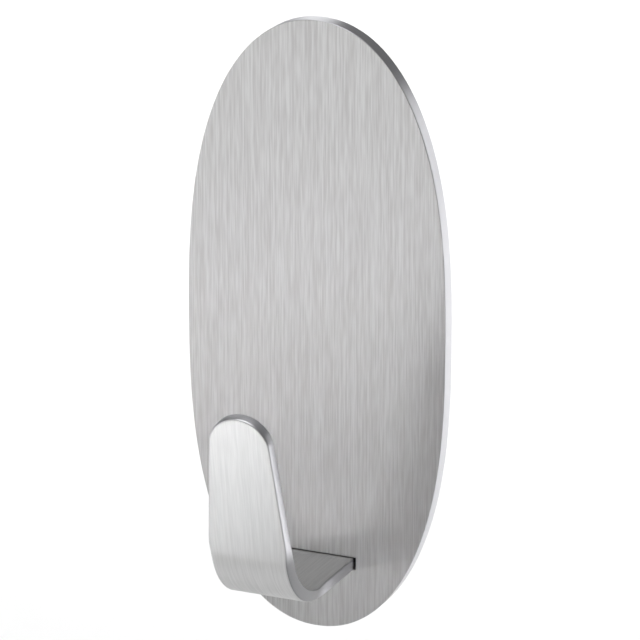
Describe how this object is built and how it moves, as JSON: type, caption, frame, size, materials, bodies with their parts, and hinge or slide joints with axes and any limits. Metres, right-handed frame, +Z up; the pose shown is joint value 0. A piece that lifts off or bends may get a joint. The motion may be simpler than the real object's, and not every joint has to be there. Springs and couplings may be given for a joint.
{
  "type": "adhesive wall hook",
  "caption": "Self-adhesive wall hook: tall oval brushed steel plate, a bent flat strap with a round nose coming out of its slot, and a foam pad with a peel-off liner behind.",
  "frame": {"origin": "on the wall plane, at the back face of the release liner, behind the middle of the oval plate", "axes": "+X across the plate to the right as seen from the front, +Y into the wall, +Z up along the plate's height"},
  "size_m": [0.033, 0.0262, 0.075],
  "materials": {
    "plate_steel": "stainless steel, brushed along its height",
    "strap_steel": "stainless steel, brushed along the strap",
    "weld_steel": "fused stainless steel of a spot weld",
    "adhesive": "clear acrylic adhesive, tacky and glossy",
    "foam": "white polyethylene foam with a die-cut edge",
    "liner": "red polyethylene release film, smooth"
  },
  "bodies": {
    "hook": {"face_plate": "plate_steel", "hook_strap": "strap_steel", "weld_nuggets": "weld_steel", "plate_adhesive": "adhesive", "foam_pad": "foam", "wall_adhesive": "adhesive"},
    "liner": {"release_liner": "liner"}
  },
  "joints": [
    {"name": "liner_lift", "type": "slide", "parent": "hook", "child": "liner", "axis": [0, 1, 0], "range_m": [0, 0.02]}
  ]
}
